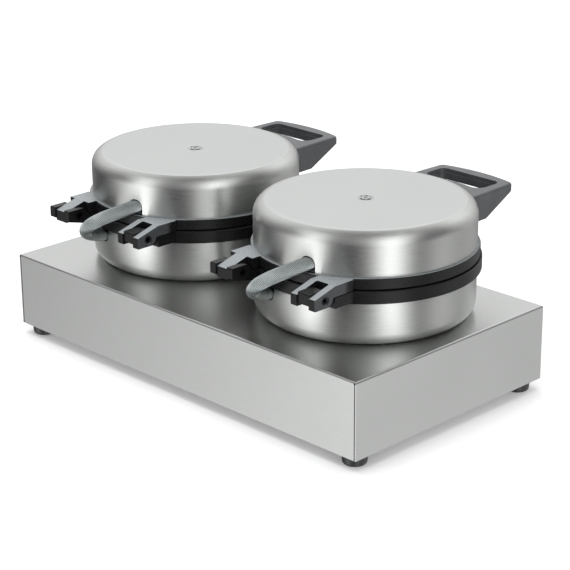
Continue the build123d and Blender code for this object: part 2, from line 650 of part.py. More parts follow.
def write_iron(side, x):
    iron = Pos(x, IRON_Y, BASE_TOP)
    save(f"{side}_lower_shell", iron * lower_dish())
    save(f"{side}_lower_plate", iron * lower_plate())
    save(f"{side}_lower_heater", iron * heater(-1))
    save(f"{side}_lower_insulation", iron * insulation(6, 31, True))
    save(f"{side}_lower_bolt", iron * lower_bolt())
    save(f"{side}_sensor", iron * sensor())
    save(f"{side}_hinge_pins", iron * hinge_pin(-HINGE_X), iron * hinge_pin(HINGE_X))
    save(f"{side}_conduit", iron * conduit())
    save(f"{side}_upper_shell", iron * upper_dish())
    save(f"{side}_upper_plate", iron * upper_plate())
    save(f"{side}_upper_heater", iron * heater(1))
    save(f"{side}_upper_insulation", iron * insulation(101, 121, False))
    save(f"{side}_lid_screw", iron * lid_screw())
    outer, inner = handle()
    save(f"{side}_handle_outer", iron * outer)
    save(f"{side}_handle_inner", iron * inner)
    save(f"{side}_handle_bracket", iron * handle_bracket())
    save(f"{side}_handle_screws", *[iron * screw for screw in handle_fasteners()])


os.makedirs("parts", exist_ok=True)
write_base()
for side, sign in (("left", -1), ("right", 1)):
    write_controls(side, sign * IRON_X)
    write_iron(side, sign * IRON_X)
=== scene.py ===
import json
import math

import bmesh
import bpy
from mathutils import Matrix, Vector


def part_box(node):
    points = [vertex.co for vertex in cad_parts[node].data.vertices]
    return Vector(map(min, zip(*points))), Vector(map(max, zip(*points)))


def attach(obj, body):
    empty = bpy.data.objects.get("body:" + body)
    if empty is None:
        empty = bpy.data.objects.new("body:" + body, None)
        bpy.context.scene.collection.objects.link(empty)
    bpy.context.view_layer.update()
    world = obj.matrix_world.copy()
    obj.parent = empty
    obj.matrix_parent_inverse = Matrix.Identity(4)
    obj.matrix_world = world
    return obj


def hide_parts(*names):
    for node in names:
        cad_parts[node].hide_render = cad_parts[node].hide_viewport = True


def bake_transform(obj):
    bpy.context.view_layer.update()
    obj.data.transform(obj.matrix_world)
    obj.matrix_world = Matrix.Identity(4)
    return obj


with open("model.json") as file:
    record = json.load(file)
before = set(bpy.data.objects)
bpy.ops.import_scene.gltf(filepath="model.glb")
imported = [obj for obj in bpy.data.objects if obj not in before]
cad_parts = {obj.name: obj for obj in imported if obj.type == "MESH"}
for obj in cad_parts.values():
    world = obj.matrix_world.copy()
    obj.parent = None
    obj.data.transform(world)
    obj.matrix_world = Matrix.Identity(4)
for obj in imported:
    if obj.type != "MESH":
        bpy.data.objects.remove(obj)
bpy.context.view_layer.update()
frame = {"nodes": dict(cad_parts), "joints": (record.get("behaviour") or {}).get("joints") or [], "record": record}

NODES = frame["nodes"]
SIDES = ("left", "right")
MM = 0.001

# --- places read from the frame -----------------------------------------------------------
HOUSING_LOW, HOUSING_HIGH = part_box("housing")
BASE_TOP = HOUSING_HIGH.z
BASE_MIDDLE = (HOUSING_LOW + HOUSING_HIGH) / 2


def iron_centre(side):
    """The point on the base's top under the middle of one iron."""
    low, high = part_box(f"{side}_lower_shell")
    return Vector(((low.x + high.x) / 2, (low.y + high.y) / 2, BASE_TOP))


# --- camera -------------------------------------------------------------------------------
CAMERA_AZIMUTH = 225.46
CAMERA_ELEVATION = 20.47
CAMERA_ROLL = -0.41
CAMERA_DISTANCE = 2.138
CAMERA_LENS = 118.8
AIM_X = -0.0227
AIM_Z = 0.0981
SENSOR_WIDTH = 36
CAMERA_FAR = 20


def make_camera():
    azimuth = math.radians(CAMERA_AZIMUTH)
    elevation = math.radians(CAMERA_ELEVATION)
    back = Vector(
        (
            math.sin(azimuth) * math.cos(elevation),
            -math.cos(azimuth) * math.cos(elevation),
            math.sin(elevation),
        )
    )
    right = Vector((0, 0, 1)).cross(back).normalized()
    up = back.cross(right)
    roll = math.radians(CAMERA_ROLL)
    across = right * math.cos(roll) + up * math.sin(roll)
    upward = up * math.cos(roll) - right * math.sin(roll)
    aim = Vector((BASE_MIDDLE.x + AIM_X, BASE_MIDDLE.y, AIM_Z))
    data = bpy.data.cameras.new("Camera")
    data.lens = CAMERA_LENS
    data.sensor_width = SENSOR_WIDTH
    data.clip_end = CAMERA_FAR
    camera = bpy.data.objects.new("Camera", data)
    turn = Matrix((across, upward, back)).transposed().to_4x4()
    camera.matrix_world = Matrix.Translation(aim + back * CAMERA_DISTANCE) @ turn
    bpy.context.scene.collection.objects.link(camera)
    bpy.context.scene.camera = camera


# --- light and floor ----------------------------------------------------------------------
TOP_LIGHT_PLACE = (0.1, 0.1, 2.4)
TOP_LIGHT_AIM = (0, 0, 0.12)
TOP_LIGHT_SIZE = (2.2, 1.8)
TOP_LIGHT_POWER = 40
FLOOR_HALF = 8
FLOOR_SHADE = 0.88
FLOOR_ROUGHNESS = 0.9
FLOOR_EMISSION = 0.17

# Upright soft panels: direction in degrees from +X, how narrow, and how bright.
PANELS = [
    (79.0, 28, 1.5),
    (160.0, 19, 2.05),
    (262.0, 8, 0.5),
]
# The panels' tops, as the height of a unit direction, and how softly they end there.
PANEL_TOP = 0.74
PANEL_EDGE = 0.12
# Rounder glows, two of them up from the table: direction, elevation, how narrow, and how bright.
GLOWS = [
    (62.0, -25.0, 10, 1.6),
    (216.0, -25.0, 12, 1.0),
    (318.0, 30.0, 4, 0.96),
    (135.0, 32.0, 6, 0.5),
    (0.0, 38.0, 9, 0.6),
    (270.0, 38.0, 9, 0.6),
    (64.0, 50.0, 24, 1.3),
    (182.0, 50.0, 24, 1.3),
]
SKY_LEVEL = 0.02
SKY_OVERHEAD = 0.12
BACKDROP_LEVEL = 0.8


class Sky:
    """A dim room with soft upright panels round it, so that curved metal shows bright and dark bands."""

    def __init__(self):
        world = bpy.data.worlds.new("Studio")
        bpy.context.scene.world = world
        world.use_nodes = True
        self.tree = world.node_tree
        self.direction = self.tree.nodes.new("ShaderNodeTexCoord").outputs["Generated"]
        self.level = self.vector("NORMALIZE", self.vector("MULTIPLY", self.direction, (1, 1, 0)))
        split = self.tree.nodes.new("ShaderNodeSeparateXYZ")
        self.tree.links.new(self.direction, split.inputs["Vector"])
        self.height = split.outputs["Z"]

    def vector(self, operation, source, constant=None):
        node = self.tree.nodes.new("ShaderNodeVectorMath")
        node.operation = operation
        self.tree.links.new(source, node.inputs[0])
        if constant is not None:
            node.inputs[1].default_value = constant
        return node.outputs["Value" if operation == "DOT_PRODUCT" else "Vector"]

    def math(self, operation, first, second):
        """One Math node on a socket and either a socket or a number."""
        node = self.tree.nodes.new("ShaderNodeMath")
        node.operation = operation
        self.tree.links.new(first, node.inputs[0])
        if isinstance(second, (int, float)):
            node.inputs[1].default_value = second
        else:
            self.tree.links.new(second, node.inputs[1])
        return node.outputs["Value"]

    def lobe(self, source, azimuth, elevation, narrowness, strength):
        across = math.cos(math.radians(elevation))
        towards = (
            across * math.cos(math.radians(azimuth)),
            across * math.sin(math.radians(azimuth)),
            math.sin(math.radians(elevation)),
        )
        facing = self.math("MAXIMUM", self.vector("DOT_PRODUCT", source, towards), 0)
        return self.math("MULTIPLY", self.math("POWER", facing, narrowness), strength)

    def make(self):
        overhead = self.math("MAXIMUM", self.math("MULTIPLY", self.height, SKY_OVERHEAD), 0)
        total = self.math("ADD", overhead, SKY_LEVEL)
        below_top = self.math("MULTIPLY", self.math("SUBTRACT", self.height, PANEL_TOP), -1 / PANEL_EDGE)
        fall = self.math("MINIMUM", self.math("MAXIMUM", below_top, 0), 1)
        for azimuth, narrowness, strength in PANELS:
            panel = self.lobe(self.level, azimuth, 0, narrowness, strength)
            total = self.math("ADD", total, self.math("MULTIPLY", panel, fall))
        for azimuth, elevation, narrowness, strength in GLOWS:
            glow = self.lobe(self.direction, azimuth, elevation, narrowness, strength)
            total = self.math("ADD", total, glow)
        seen = self.tree.nodes.new("ShaderNodeMix")
        path = self.tree.nodes.new("ShaderNodeLightPath")
        self.tree.links.new(path.outputs["Is Camera Ray"], seen.inputs["Factor"])
        self.tree.links.new(total, seen.inputs["A"])
        seen.inputs["B"].default_value = BACKDROP_LEVEL
        background = self.tree.nodes["Background"]
        self.tree.links.new(seen.outputs["Result"], background.inputs["Strength"])
        background.inputs["Color"].default_value = (1, 1, 1, 1)


def make_top_light():
    """A wide light overhead that the metal doesn't mirror."""
    data = bpy.data.lights.new("top_softbox", "AREA")
    data.shape = "RECTANGLE"
    data.size, data.size_y = TOP_LIGHT_SIZE
    data.energy = TOP_LIGHT_POWER
    light = bpy.data.objects.new("top_softbox", data)
    direction = Vector(TOP_LIGHT_AIM) - Vector(TOP_LIGHT_PLACE)
    turn = direction.to_track_quat("-Z", "Y").to_matrix().to_4x4()
    light.matrix_world = Matrix.Translation(TOP_LIGHT_PLACE) @ turn
    light.visible_glossy = False
    bpy.context.scene.collection.objects.link(light)


def make_floor():
    paint = Paint("floor", (FLOOR_SHADE, FLOOR_SHADE, FLOOR_SHADE), FLOOR_ROUGHNESS)
    paint.shader.inputs["Emission Color"].default_value = (1, 1, 1, 1)
    paint.shader.inputs["Emission Strength"].default_value = FLOOR_EMISSION
    paint.shader.inputs["Specular IOR Level"].default_value = 0.0
    form = bmesh.new()
    bmesh.ops.create_grid(form, x_segments=8, y_segments=8, size=FLOOR_HALF)
    floor = object_from(form, "floor", [paint.material])
    floor.visible_glossy = False


def make_studio():
    Sky().make()
    make_top_light()
    make_floor()
    bpy.context.scene.view_settings.view_transform = "Standard"


# --- materials ----------------------------------------------------------------------------
CAST_COLOUR = (0.009, 0.0092, 0.0098)
CAST_SPECULAR = 0.2
CAST_GRAIN = 1500
CAST_GRAIN_DEPTH = 0.00003
BRUSH_DEPTH = 0.00001
WALL_ANISOTROPY = 0.9
WALL_ANISOTROPY_TURN = 0.25

# Painted sheen on the lids' castings: the range over which a normal comes to count as facing up, or sideways, and
# where the hinge arms are, in metres from the iron's middle. Faces found so are painted a paler grey.
PAINTED_SHEEN_COLOUR = (0.27, 0.29, 0.302)
TOP_FACING = (0.8, 0.92)
SIDE_FACING_SQUARED = (0.9, 0.97)
ARMS_FROM = 0.108
ARMS_FADE = 0.006
ARM_OUTER_X = 0.07
ARM_SIDE_SHARE = 0.2

# Painted shade: the seat round the screw has this share of the flat end's colour. The step is twice as wide as the
# fade, in millimetres.
SEAT_SHADE = 0.3
SEAT_SHADE_FADE = 0.6

# The middle range of a noise, which spread() stretches.
NOISE_LOW = 0.3
NOISE_HIGH = 0.7


class Paint:
    """One procedural material: a Principled shader whose colour, roughness and bump come from noise."""

    def __init__(self, name, colour, roughness, metallic=0.0):
        self.material = bpy.data.materials.new(name)
        self.material.use_nodes = True
        self.tree = self.material.node_tree
        self.shader = self.tree.nodes["Principled BSDF"]
        self.colour = colour
        self.roughness = roughness
        self.shader.inputs["Base Color"].default_value = (*colour, 1)
        self.shader.inputs["Roughness"].default_value = roughness
        self.shader.inputs["Metallic"].default_value = metallic

    def node(self, kind, **settings):
        made = self.tree.nodes.new(kind)
        for key, value in settings.items():
            setattr(made, key, value)
        return made

    def link(self, source, target):
        self.tree.links.new(source, target)

    def coordinates(self, stretch=(1, 1, 1)):
        """Object coordinates stretched along the axes."""
        mapping = self.node("ShaderNodeMapping")
        mapping.inputs["Scale"].default_value = stretch
        self.link(self.node("ShaderNodeTexCoord").outputs["Object"], mapping.inputs["Vector"])
        return mapping.outputs["Vector"]

    def turned(self, centre, around, along):
        """Coordinates with no seam about an upright line: the direction from it, and the height."""
        shift = self.node("ShaderNodeVectorMath", operation="SUBTRACT")
        shift.inputs[1].default_value = centre
        self.link(self.node("ShaderNodeTexCoord").outputs["Object"], shift.inputs[0])
        flat = self.node("ShaderNodeVectorMath", operation="MULTIPLY")
        flat.inputs[1].default_value = (1, 1, 0)
        self.link(shift.outputs["Vector"], flat.inputs[0])
        unit = self.node("ShaderNodeVectorMath", operation="NORMALIZE")
        self.link(flat.outputs["Vector"], unit.inputs[0])
        lift = self.node("ShaderNodeCombineXYZ")
        self.link(self.axes_of(shift.outputs["Vector"])["Z"], lift.inputs["Z"])
        joined = self.node("ShaderNodeVectorMath", operation="ADD")
        self.link(unit.outputs["Vector"], joined.inputs[0])
        self.link(lift.outputs["Vector"], joined.inputs[1])
        scaled = self.node("ShaderNodeVectorMath", operation="MULTIPLY")
        scaled.inputs[1].default_value = (around, around, along)
        self.link(joined.outputs["Vector"], scaled.inputs[0])
        return scaled.outputs["Vector"]

    def axes_of(self, source):
        """The X, Y and Z of a vector."""
        split = self.node("ShaderNodeSeparateXYZ")
        self.link(source, split.inputs["Vector"])
        return split.outputs

    def math(self, operation, first, second):
        """One Math node on two sockets."""
        node = self.node("ShaderNodeMath", operation=operation)
        self.link(first, node.inputs[0])
        self.link(second, node.inputs[1])
        return node.outputs["Value"]

    def steps_up(self, source, low, high, start=0.0):
        """start below low, 1 above high."""
        step = self.node("ShaderNodeMapRange")
        step.inputs["From Min"].default_value = low
        step.inputs["From Max"].default_value = high
        step.inputs["To Min"].default_value = start
        self.link(source, step.inputs["Value"])
        return step.outputs["Result"]

    def noise(self, coordinates, scale, detail=3.0):
        texture = self.node("ShaderNodeTexNoise")
        texture.inputs["Scale"].default_value = scale
        texture.inputs["Detail"].default_value = detail
        self.link(coordinates, texture.inputs["Vector"])
        return texture.outputs["Fac"]

    def spread(self, source, low, high):
        """Maps a noise's middle range onto low..high."""
        span = self.node("ShaderNodeMapRange")
        span.inputs["From Min"].default_value = NOISE_LOW
        span.inputs["From Max"].default_value = NOISE_HIGH
        span.inputs["To Min"].default_value = low
        span.inputs["To Max"].default_value = high
        self.link(source, span.inputs["Value"])
        return span.outputs["Result"]

    def vary_colour(self, source, amount):
        mix = self.node("ShaderNodeMix", data_type="RGBA")
        mix.inputs["A"].default_value = (*[c * (1 - amount) for c in self.colour], 1)
        mix.inputs["B"].default_value = (*[min(1.0, c * (1 + amount)) for c in self.colour], 1)
        self.link(self.spread(source, 0.0, 1.0), mix.inputs["Factor"])
        self.link(mix.outputs["Result"], self.shader.inputs["Base Color"])

    def vary_roughness(self, source, amount):
        varied = self.spread(source, self.roughness - amount, self.roughness + amount)
        self.link(varied, self.shader.inputs["Roughness"])

    def bump(self, source, distance, strength=1.0):
        bump = self.node("ShaderNodeBump")
        bump.inputs["Strength"].default_value = strength
        bump.inputs["Distance"].default_value = distance
        self.link(source, bump.inputs["Height"])
        self.link(bump.outputs["Normal"], self.shader.inputs["Normal"])

    def base_colour(self):
        """The socket that feeds the base colour now."""
        return self.shader.inputs["Base Color"].links[0].from_socket


def brushed_sheet():
    paint = Paint("base_stainless", (0.56, 0.57, 0.56), 0.3, 1.0)
    grain = paint.noise(paint.coordinates((60, 1500, 1500)), 1.0, 3)
    paint.vary_colour(grain, 0.035)
    paint.vary_roughness(paint.noise(paint.coordinates(), 7.0), 0.03)
    paint.bump(grain, BRUSH_DEPTH, 0.3)
    return paint.material


def brushed_wall(side):
    """Brushed round and round, so a light spreads into an upright band."""
    centre = iron_centre(side)
    paint = Paint(f"{side}_shell_wall", (0.55, 0.56, 0.545), 0.34, 1.0)
    streak = paint.noise(paint.turned(centre, 8, 900), 1.0, 3)
    paint.vary_colour(streak, 0.07)
    paint.vary_roughness(streak, 0.045)
    paint.bump(paint.noise(paint.turned(centre, 20, 2200), 1.0, 3), BRUSH_DEPTH, 0.35)
    tangent = paint.node("ShaderNodeTangent", direction_type="RADIAL", axis="Z")
    paint.link(tangent.outputs["Tangent"], paint.shader.inputs["Tangent"])
    paint.shader.inputs["Anisotropic"].default_value = WALL_ANISOTROPY
    paint.shader.inputs["Anisotropic Rotation"].default_value = WALL_ANISOTROPY_TURN
    return paint.material


def shade_seat(paint, centre):
    """Paints shade into the screw's dished seat in the middle of a flat end."""
    flat = paint.node("ShaderNodeVectorMath", operation="MULTIPLY")
    flat.inputs[1].default_value = (1, 1, 0)
    paint.link(paint.coordinates(), flat.inputs[0])
    reach = paint.node("ShaderNodeVectorMath", operation="DISTANCE")
    reach.inputs[1].default_value = (centre.x, centre.y, 0)
    paint.link(flat.outputs["Vector"], reach.inputs[0])
    edges = [(SEAT_R - SEAT_SHADE_FADE) * MM, (SEAT_R + SEAT_SHADE_FADE) * MM]
    scaled = paint.node("ShaderNodeVectorMath", operation="SCALE")
    paint.link(paint.base_colour(), scaled.inputs[0])
    paint.link(paint.steps_up(reach.outputs["Value"], *edges, SEAT_SHADE), scaled.inputs["Scale"])
    paint.link(scaled.outputs["Vector"], paint.shader.inputs["Base Color"])


def brushed_crown(side):
    """The dishes' flat ends, with a fine even grain."""
    paint = Paint(f"{side}_shell_crown", (0.6, 0.615, 0.605), 0.33, 1.0)
    grain = paint.noise(paint.coordinates(), 900.0, 3)
    paint.vary_colour(grain, 0.025)
    shade_seat(paint, iron_centre(side))
    paint.vary_roughness(paint.noise(paint.coordinates(), 10.0), 0.03)
    paint.bump(grain, BRUSH_DEPTH, 0.2)
    return paint.material


def painted_sheen_cast(side):
    """The lids' castings: dark, with painted sheen, a paler grey, on their tops and on the sides of their hinge
    arms.
    """
    paint = Paint(f"{side}_painted_sheen_cast", CAST_COLOUR, 0.3)
    coordinates = paint.node("ShaderNodeTexCoord")
    normal = paint.axes_of(coordinates.outputs["Normal"])
    sideways = paint.math("MULTIPLY", normal["X"], normal["X"])
    offset = paint.node("ShaderNodeVectorMath", operation="SUBTRACT")
    offset.inputs[1].default_value = iron_centre(side)
    paint.link(coordinates.outputs["Object"], offset.inputs[0])
    place = paint.axes_of(offset.outputs["Vector"])
    outward = paint.math("MULTIPLY", place["X"], place["X"])
    behind = paint.steps_up(place["Y"], ARMS_FROM, ARMS_FROM + ARMS_FADE)
    beside = paint.steps_up(outward, ARM_OUTER_X**2, (ARM_OUTER_X + MM) ** 2)
    arm = paint.math("MULTIPLY", behind, beside)
    arm_side = paint.node("ShaderNodeMath", operation="MULTIPLY")
    arm_side.inputs[1].default_value = ARM_SIDE_SHARE
    facing = paint.steps_up(sideways, *SIDE_FACING_SQUARED)
    paint.link(paint.math("MULTIPLY", facing, arm), arm_side.inputs[0])
    top = paint.steps_up(normal["Z"], *TOP_FACING)
    mottle = paint.noise(paint.coordinates(), 350.0, 4)
    paint.vary_colour(mottle, 0.2)
    # Painted sheen: faces that point up, and in part the hinge arms' outer sides, are mixed towards a paler grey.
    mix = paint.node("ShaderNodeMix", data_type="RGBA")
    paint.link(paint.math("MAXIMUM", top, arm_side.outputs["Value"]), mix.inputs["Factor"])
    paint.link(paint.base_colour(), mix.inputs["A"])
    mix.inputs["B"].default_value = (*PAINTED_SHEEN_COLOUR, 1)
    paint.link(mix.outputs["Result"], paint.shader.inputs["Base Color"])
    paint.vary_roughness(mottle, 0.06)
    paint.bump(paint.noise(paint.coordinates(), CAST_GRAIN, 5), CAST_GRAIN_DEPTH, 0.6)
    paint.shader.inputs["Specular IOR Level"].default_value = CAST_SPECULAR
    return paint.material


def rough_paint(name, colour, roughness, metallic, grain_scale, depth):
    """A plain surface with a fine grain and a slow change of tone."""
    paint = Paint(name, colour, roughness, metallic)
    place = paint.coordinates()
    grain = paint.noise(place, grain_scale, 5)
    paint.vary_colour(paint.noise(place, 40.0), 0.15)
    paint.vary_roughness(grain, 0.07)
    paint.bump(grain, depth, 0.6)
    return paint.material


def assign(node, material):
    data = NODES[node].data
    data.materials.clear()
    data.materials.append(material)


def paint_nodes():
    cast = rough_paint("cast_metal", CAST_COLOUR, 0.27, 0.0, CAST_GRAIN, CAST_GRAIN_DEPTH)
    cast_shader = cast.node_tree.nodes["Principled BSDF"]
    cast_shader.inputs["Specular IOR Level"].default_value = CAST_SPECULAR
    dark_steel = rough_paint("dark_steel", (0.025, 0.025, 0.027), 0.4, 1.0, 900, 0.00005)
    handle = rough_paint("handle_moulding", (0.066, 0.0695, 0.074), 0.33, 0.0, 1600, 0.00003)
    rubber = rough_paint("foot_rubber", (0.03, 0.031, 0.032), 0.4, 0.0, 1200, 0.00008)
    moulded = rough_paint("black_moulding", (0.014, 0.014, 0.015), 0.4, 0.0, 1500, 0.00005)
    zinc = rough_paint("zinc_plate", (0.62, 0.63, 0.62), 0.32, 1.0, 700, 0.00003)
    brass = rough_paint("brass", (0.72, 0.55, 0.28), 0.3, 1.0, 600, 0.00002)
    element = rough_paint("element_sheath", (0.2, 0.2, 0.21), 0.5, 1.0, 800, 0.00005)
    wool = rough_paint("mineral_wool", (0.75, 0.72, 0.6), 0.95, 0.0, 300, 0.0008)
    red = rough_paint("rocker_red", (0.5, 0.02, 0.015), 0.22, 0.0, 1200, 0.00002)
    amber = rough_paint("lens_amber", (0.9, 0.3, 0.03), 0.12, 0.0, 500, 0.00002)
    sleeve = rough_paint("conduit_sleeve", (0.55, 0.6, 0.6), 0.34, 1.0, 500, 0.00002)
    by_slot = {
        "stainless": brushed_sheet(),
        "cast": cast,
        "handle": handle,
        "dark_steel": dark_steel,
        "rubber": rubber,
        "zinc": zinc,
        "heater": element,
        "wool": wool,
        "black_plastic": moulded,
        "knob": handle,
        "rocker": red,
        "lens": amber,
        "brass": brass,
        "conduit": sleeve,
    }
    for row in frame["record"]["subparts"]:
        if row["material_slot"] in by_slot:
            assign(row["node"], by_slot[row["material_slot"]])
    for side in SIDES:
        assign(f"{side}_upper_plate", painted_sheen_cast(side))


# --- mesh helpers -----------------------------------------------------------------------------
def object_from(form, name, materials):
    mesh = bpy.data.meshes.new(name)
    form.to_mesh(mesh)
    form.free()
    for material in materials:
        mesh.materials.append(material)
    made = bpy.data.objects.new(name, mesh)
    bpy.context.scene.collection.objects.link(made)
    return made


def band(form, one, two):
    """Faces between two closed loops of as many points each, in order."""
    faces = []
    for k in range(len(one)):
        nxt = (k + 1) % len(one)
        faces.append(form.faces.new((one[k], one[nxt], two[nxt], two[k])))
    return faces


def prism(form, near, far):
    """A closed solid between two outlines."""
    form.faces.new(near)
    form.faces.new(reversed(far))
    band(form, near, far)


def combine(made, other, operation):
    """Joins other to made, or takes it away, for good, and deletes other."""
    boolean = made.modifiers.new("combine", "BOOLEAN")
    boolean.operation = operation
    boolean.solver = "EXACT"
    boolean.object = other
    bpy.context.view_layer.update()
    result = bpy.data.meshes.new_from_object(made.evaluated_get(bpy.context.evaluated_depsgraph_get()))
    old = made.data
    made.modifiers.clear()
    made.data = result
    bpy.data.meshes.remove(old)
    bpy.data.objects.remove(other)


# --- the conduit's woven sleeve -------------------------------------------------------------
# The same points as the CAD route, in the iron's own frame, in millimetres.
CONDUIT_ROUTE = [
    (-30.4, 104.0, 89.6),
    (-28.0, 126.0, 86.9),
    (-10.5, 165.0, 76.5),
    (9.5, 165.0, 58.5),
    (28.0, 126.0, 41.3),
    (30.4, 104.0, 39.2),
]
ROUTE_RESOLUTION = 40
SLEEVE_R = 7.05
LINER_R = SLEEVE_R - 0.4
LINER_SIDES = 24
STRANDS = 24
STRAND_HALF_ANGLE = math.pi / STRANDS * 0.93
STRAND_CROWN = 0.45
STRAND_PITCH = 84.0
STRAND_STEPS = 140
# The strand's section, as shares of its half angle and of its crown. The faces listed next keep the sleeve's
# colour; the flanks take the liner's dark colour as painted shade.
STRAND_SECTION = [(-1, -1.7), (-0.78, 0.0), (-0.35, 0.9), (0.35, 0.9), (0.78, 0.0), (1, -1.7)]
STRAND_UNSHADED_FACES = (1, 2, 3)


def conduit_line(side):
    """Evenly read points of the sleeve's centre line, in metres, from a NURBS through the route."""
    centre = iron_centre(side)
    data = bpy.data.curves.new("route", "CURVE")
    data.dimensions = "3D"
    spline = data.splines.new("NURBS")
    spline.points.add(len(CONDUIT_ROUTE) - 1)
    for point, place in zip(spline.points, CONDUIT_ROUTE):
        point.co = (*(centre + Vector(place) * MM), 1)
    spline.order_u = 3
    spline.use_endpoint_u = True
    data.resolution_u = ROUTE_RESOLUTION
    carrier = bpy.data.objects.new("route", data)
    line = bpy.data.meshes.new_from_object(carrier)
    points = [vertex.co.copy() for vertex in line.vertices]
    bpy.data.meshes.remove(line)
    bpy.data.objects.remove(carrier)
    bpy.data.curves.remove(data)
    return points


def frames_along(points):
    """(point, side, up, distance) for each point, turning as little as possible from one to the next."""
    frames = []
    distance = 0.0
    normal = None
    for index, point in enumerate(points):
        ahead = points[min(index + 1, len(points) - 1)]
        behind = points[max(index - 1, 0)]
        tangent = (ahead - behind).normalized()
        if normal is None:
            normal = tangent.orthogonal().normalized()
        normal = (normal - tangent * normal.dot(tangent)).normalized()
        if index:
            distance += (point - points[index - 1]).length
        frames.append((point, normal, tangent.cross(normal), distance))
    return frames


def frame_at(frames, distance):
    for before, after in zip(frames, frames[1:]):
        if after[3] >= distance:
            share = (distance - before[3]) / (after[3] - before[3])
            return [a.lerp(b, share) for a, b in zip(before[:3], after[:3])]
    return list(frames[-1][:3])


def make_conduit(side, material, liner):
    frames = frames_along(conduit_line(side))
    length = frames[-1][3]
    rings = [frame_at(frames, length * step / STRAND_STEPS) for step in range(STRAND_STEPS + 1)]
    form = bmesh.new()
    add_sleeve_core(form, rings)
    for strand in range(STRANDS):
        add_strand(form, rings, length, strand)
    bmesh.ops.recalc_face_normals(form, faces=form.faces)
    sleeve = object_from(form, f"{side}_braided_conduit", [material, liner])
    for face in sleeve.data.polygons:
        face.use_smooth = True
    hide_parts(f"{side}_conduit")
    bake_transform(sleeve)


def on_sleeve(ring, angle, radius):
    point, normal, other = ring
    return point + (normal * math.cos(angle) + other * math.sin(angle)) * radius


def add_sleeve_core(form, rings):
    """The closed liner that shows dark between the strands."""
    angles = [math.tau * k / LINER_SIDES for k in range(LINER_SIDES)]
    loops = []
    for ring in rings:
        loops.append([form.verts.new(on_sleeve(ring, angle, LINER_R * MM)) for angle in angles])
    for one, two in zip(loops, loops[1:]):
        band(form, one, two)
    form.faces.new(reversed(loops[0]))
    form.faces.new(loops[-1])
    for face in form.faces:
        face.material_index = 1


def add_strand(form, rings, length, strand):
    """One crowned strand wound left-handed along the sleeve, bright on top, with painted shade down its flanks in
    the liner's dark colour.
    """
    rows = []
    for step, ring in enumerate(rings):
        along = length * step / (len(rings) - 1)
        angle = math.tau * strand / STRANDS - math.tau * along / (STRAND_PITCH * MM)
        row = []
        for share, rise in STRAND_SECTION:
            radius = SLEEVE_R * MM + STRAND_CROWN * MM * rise
            row.append(form.verts.new(on_sleeve(ring, angle + STRAND_HALF_ANGLE * share, radius)))
        rows.append(row)
    for one, two in zip(rows, rows[1:]):
        for k, face in enumerate(band(form, one, two)):
            # Painted shade: the flank faces take the liner's dark colour.
            face.material_index = 0 if k in STRAND_UNSHADED_FACES else 1
    form.faces.new(reversed(rows[0]))
    form.faces.new(rows[-1])


# --- shells ---------------------------------------------------------------------------------
SHELL_SHEET = 1.2
SHELL_CORNER = 15.0
SHELL_RIM_EDGE = 0.4
SHELL_RIM_STRAIGHT = 4
CORNER_STEPS = 20
SEAT_R = 8.5
SEAT_FLOOR_R = 6.5
SEAT_DEPTH = 1.8
NOTCH_X = 28.6
NOTCH_HALF_W = 8.9
NOTCH_DEPTH = 18.3
NOTCH_STEPS = 24
CUTTER_REACH = 20
CUTTER_PAST_RIM = 3
SCREW_HOLE_R = {"upper": 3.2, "lower": 4.2}
SHELL_STEPS = 256
FLAT_END = 0.97
SHARP_ANGLE = 35


def arc(centre, radius, start, end, steps):
    """Points (radius, height) on an arc, with its angles in degrees."""
    angles = [math.radians(start + (end - start) * step / steps) for step in range(steps + 1)]
    return [(centre[0] + radius * math.cos(a), centre[1] + radius * math.sin(a)) for a in angles]


def shell_profile(radius, height, hole_r):
    """The dish's section in millimetres, from its open rim at height 0 to its closed end."""
    inner = radius - SHELL_SHEET
    corner = (radius - SHELL_CORNER, height - SHELL_CORNER)
    seat_z = height - SEAT_DEPTH
    edge = SHELL_RIM_EDGE
    outside = [(radius - edge, 0), (radius - edge * 0.3, edge * 0.3), (radius, edge)]
    outside += [(radius, SHELL_RIM_STRAIGHT)]
    outside += arc(corner, SHELL_CORNER, 0, 90, CORNER_STEPS)
    outside += [(radius - SHELL_CORNER - 1, height), (SEAT_R + 2, height)]
    outside += [(SEAT_R + 1, height), (SEAT_R + 0.3, height - 0.15), (SEAT_R, height - 0.5)]
    outside += [(SEAT_FLOOR_R, seat_z), (hole_r, seat_z)]
    inside = [(hole_r, seat_z - SHELL_SHEET), (SEAT_FLOOR_R + 0.8, seat_z - SHELL_SHEET)]
    inside += [(SEAT_R + 0.8, height - SHELL_SHEET)]
    inside += reversed(arc(corner, SHELL_CORNER - SHELL_SHEET, 0, 90, CORNER_STEPS))
    inside += [(inner, SHELL_RIM_STRAIGHT), (inner, edge), (inner + edge, 0)]
    return outside + inside


def lathe(profile, place):
    """A closed mesh turned about the upright line through place, from a profile in millimetres."""
    form = bmesh.new()
    loops = []
    for step in range(SHELL_STEPS):
        angle = math.tau * step / SHELL_STEPS
        around = Vector((math.cos(angle), math.sin(angle), 0))
        loops.append([form.verts.new(place(around * r * MM, z * MM)) for r, z in profile])
    for step in range(SHELL_STEPS):
        band(form, loops[step], loops[(step + 1) % SHELL_STEPS])
    bmesh.ops.recalc_face_normals(form, faces=form.faces)
    return form


